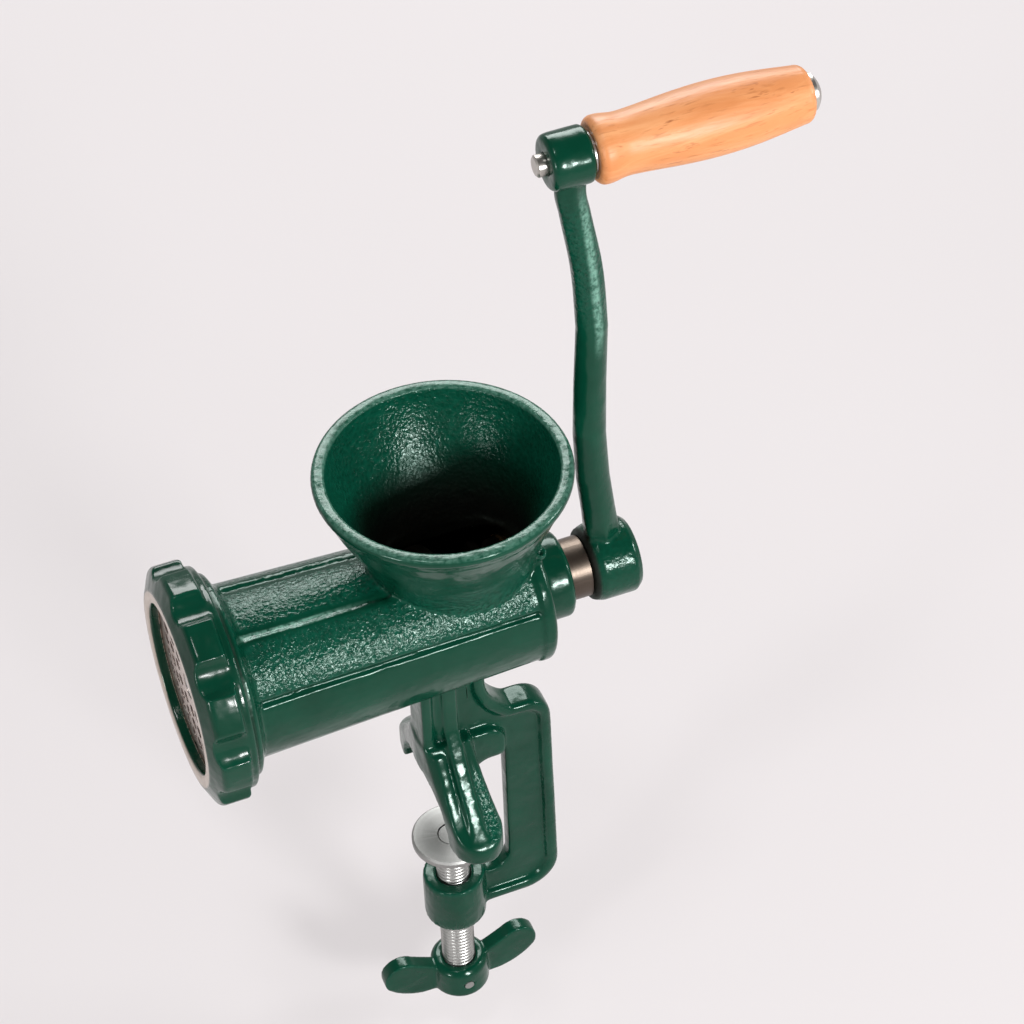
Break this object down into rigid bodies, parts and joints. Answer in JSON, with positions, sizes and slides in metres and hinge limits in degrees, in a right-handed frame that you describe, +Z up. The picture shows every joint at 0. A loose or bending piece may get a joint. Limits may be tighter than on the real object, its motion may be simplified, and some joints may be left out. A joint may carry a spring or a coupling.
{
  "type": "hand crank meat grinder",
  "caption": "Clamp-on hand crank meat grinder: flared hopper over a screw barrel, lugged ring nut with perforated plate, C clamp bracket, long crank with a wooden grip.",
  "frame": {"origin": "middle of the two clamp feet, on the table top that they rest on", "axes": "+X along the barrel axis from the ring nut to the crank, +Z up, clamp screw on the Z axis"},
  "size_m": [0.2524, 0.0956, 0.4391],
  "materials": {
    "green_enamel": "glossy hammered stove enamel on cast iron",
    "bright_steel": "ground and polished steel",
    "cutter_steel": "ground tool steel",
    "tinned_iron": "tinned cast iron, turned on the shaft",
    "bronze": "turned bronze",
    "zinc_steel": "zinc plated steel",
    "beech": "oiled turned beech"
  },
  "bodies": {
    "base": {"body_casting": "green_enamel", "plate_pin": "bright_steel", "rear_bush": "bronze", "thrust_washer": "bronze"},
    "drive": {"auger": "tinned_iron", "auger_stud": "bright_steel", "knife": "cutter_steel", "crank_arm": "green_enamel", "crank_washer": "zinc_steel", "crank_screw": "zinc_steel", "grip_bolt": "bright_steel", "grip_washer": "zinc_steel"},
    "grip": {"grip": "beech"},
    "plate": {"cutting_plate": "cutter_steel"},
    "ring": {"ring_nut": "green_enamel"},
    "pad": {"swivel_pad": "zinc_steel"},
    "screw": {"clamp_screw": "zinc_steel", "clamp_wing": "green_enamel", "clamp_wing_pin": "bright_steel", "pad_rivet": "zinc_steel"}
  },
  "joints": [
    {"name": "crank_turn", "type": "hinge", "parent": "base", "child": "drive", "pos_m": [0, 0, 0.107], "axis": [1, 0, 0], "continuous": true},
    {"name": "grip_spin", "type": "hinge", "parent": "drive", "child": "grip", "pos_m": [0.107, 0, 0.305], "axis": [1, 0, 0], "continuous": true},
    {"name": "plate_slide", "type": "slide", "parent": "base", "child": "plate", "axis": [-1, 0, 0], "range_m": [0, 0.0116]},
    {"name": "ring_turn", "type": "hinge", "parent": "plate", "child": "ring", "pos_m": [-0.09, 0, 0.107], "axis": [-1, 0, 0], "range_deg": [0, 1035]},
    {"name": "pad_slide", "type": "slide", "parent": "base", "child": "pad", "axis": [0, 0, 1], "range_m": [-0.0172, 0.0207]},
    {"name": "screw_turn", "type": "hinge", "parent": "pad", "child": "screw", "pos_m": [0, 0, -0.06], "axis": [0, 0, 1], "range_deg": [-3060, 3690]}
  ],
  "couplings": [
    {"joint": "plate_slide", "follows": "ring_turn", "m_per_rad": 0.00063662},
    {"joint": "pad_slide", "follows": "screw_turn", "m_per_rad": 0.00031831}
  ]
}
